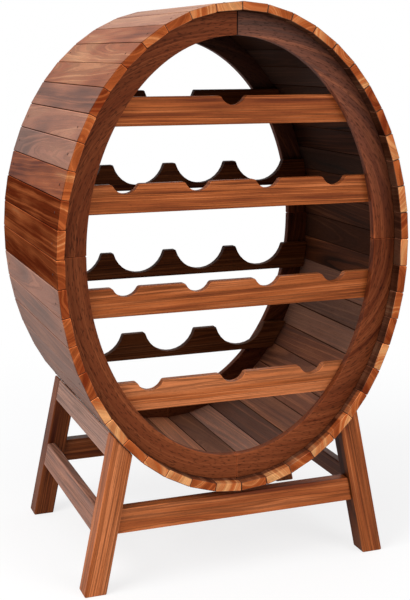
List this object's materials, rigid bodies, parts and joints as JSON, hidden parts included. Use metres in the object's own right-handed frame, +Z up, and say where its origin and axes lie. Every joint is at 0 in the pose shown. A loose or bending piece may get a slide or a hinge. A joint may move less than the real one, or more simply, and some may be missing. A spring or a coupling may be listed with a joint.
{
  "type": "barrel wine rack",
  "caption": "Upright oval barrel of wooden staves on a splayed stand, with notched rails inside that hold wine bottles lying down.",
  "frame": {"origin": "on the floor below the middle of the barrel", "axes": "+X to the right seen from the front, +Y from the front (neck notches) to the back, +Z up"},
  "size_m": [0.5, 0.333, 0.7639],
  "materials": {
    "stave_wood": "oiled acacia staves, satin, light sapwood streaks",
    "ring_wood": "dark oiled hardwood, satin",
    "rail_wood": "oiled reddish hardwood, satin, straight grain",
    "stand_wood": "oiled reddish hardwood, satin, straight grain",
    "nail_steel": "dulled nail heads"
  },
  "bodies": {
    "root": {"back_left_leg": "stand_wood", "back_nails": "nail_steel", "back_right_leg": "stand_wood", "back_ring_lower_left": "ring_wood", "back_ring_lower_right": "ring_wood", "back_ring_upper_left": "ring_wood", "back_ring_upper_right": "ring_wood", "back_stretcher": "stand_wood", "bottom_rack_back_rail": "rail_wood", "bottom_rack_front_rail": "rail_wood", "front_left_leg": "stand_wood", "front_nails": "nail_steel", "front_right_leg": "stand_wood", "front_ring_lower_left": "ring_wood", "front_ring_lower_right": "ring_wood", "front_ring_upper_left": "ring_wood", "front_ring_upper_right": "ring_wood", "front_stretcher": "stand_wood", "left_stretcher": "stand_wood", "left_upper_rail": "stand_wood", "lower_rack_back_rail": "rail_wood", "lower_rack_front_rail": "rail_wood", "right_stretcher": "stand_wood", "right_upper_rail": "stand_wood", "stave_pair_01": "stave_wood", "stave_pair_02": "stave_wood", "stave_pair_03": "stave_wood", "stave_pair_04": "stave_wood", "stave_pair_05": "stave_wood", "stave_pair_06": "stave_wood", "stave_pair_07": "stave_wood", "stave_pair_08": "stave_wood", "stave_pair_09": "stave_wood", "stave_pair_10": "stave_wood", "stave_pair_11": "stave_wood", "stave_pair_12": "stave_wood", "stave_pair_13": "stave_wood", "stave_pair_14": "stave_wood", "stave_pair_15": "stave_wood", "stave_pair_16": "stave_wood", "stave_pair_17": "stave_wood", "stave_pair_18": "stave_wood", "stave_pair_19": "stave_wood", "stave_pair_20": "stave_wood", "stave_pair_21": "stave_wood", "stave_pair_22": "stave_wood", "stave_pair_23": "stave_wood", "stave_pair_24": "stave_wood", "top_rack_back_rail": "rail_wood", "top_rack_front_rail": "rail_wood", "upper_rack_back_rail": "rail_wood", "upper_rack_front_rail": "rail_wood"}
  },
  "joints": []
}
